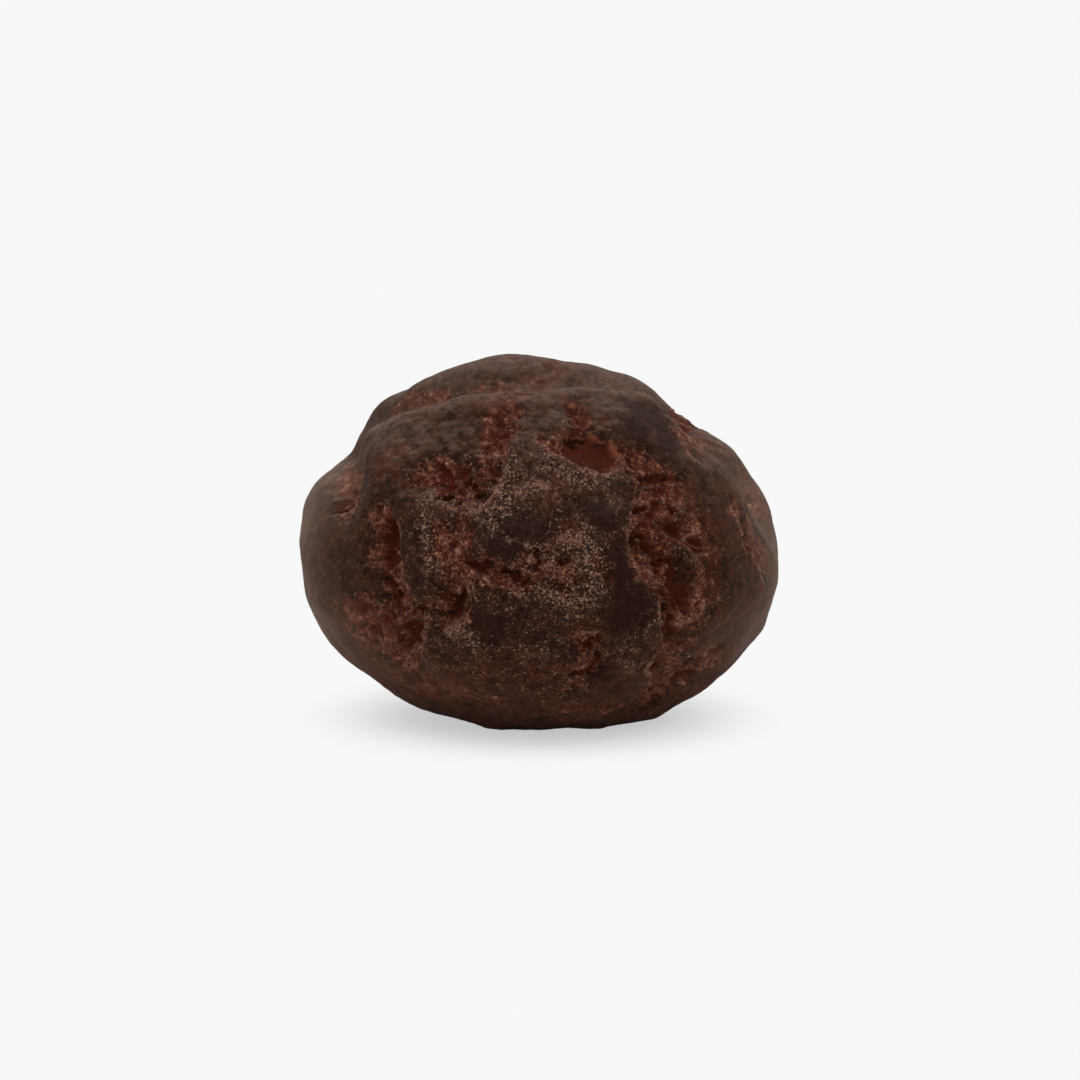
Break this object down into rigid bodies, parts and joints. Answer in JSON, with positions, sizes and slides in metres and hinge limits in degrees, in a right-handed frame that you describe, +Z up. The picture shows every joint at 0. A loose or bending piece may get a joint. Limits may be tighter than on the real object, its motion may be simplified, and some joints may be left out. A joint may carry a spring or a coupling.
{
  "type": "chocolate covered goldenberry",
  "caption": "Round dried berry under a thick, cracked coat of dark chocolate, resting on a small flat spot.",
  "frame": {"origin": "on the surface the sweet rests on, under the middle of its box", "axes": "+X along the sweet's long width, +Z up; -Y is the side with the round hole and the two long channels"},
  "size_m": [0.0184, 0.0168, 0.014],
  "materials": {
    "dark_chocolate": "dull dark chocolate with cracks, rust-brown crumbly channels and a fine pale bloom"
  },
  "bodies": {
    "root": {"chocolate_goldenberry": "dark_chocolate"}
  },
  "joints": []
}
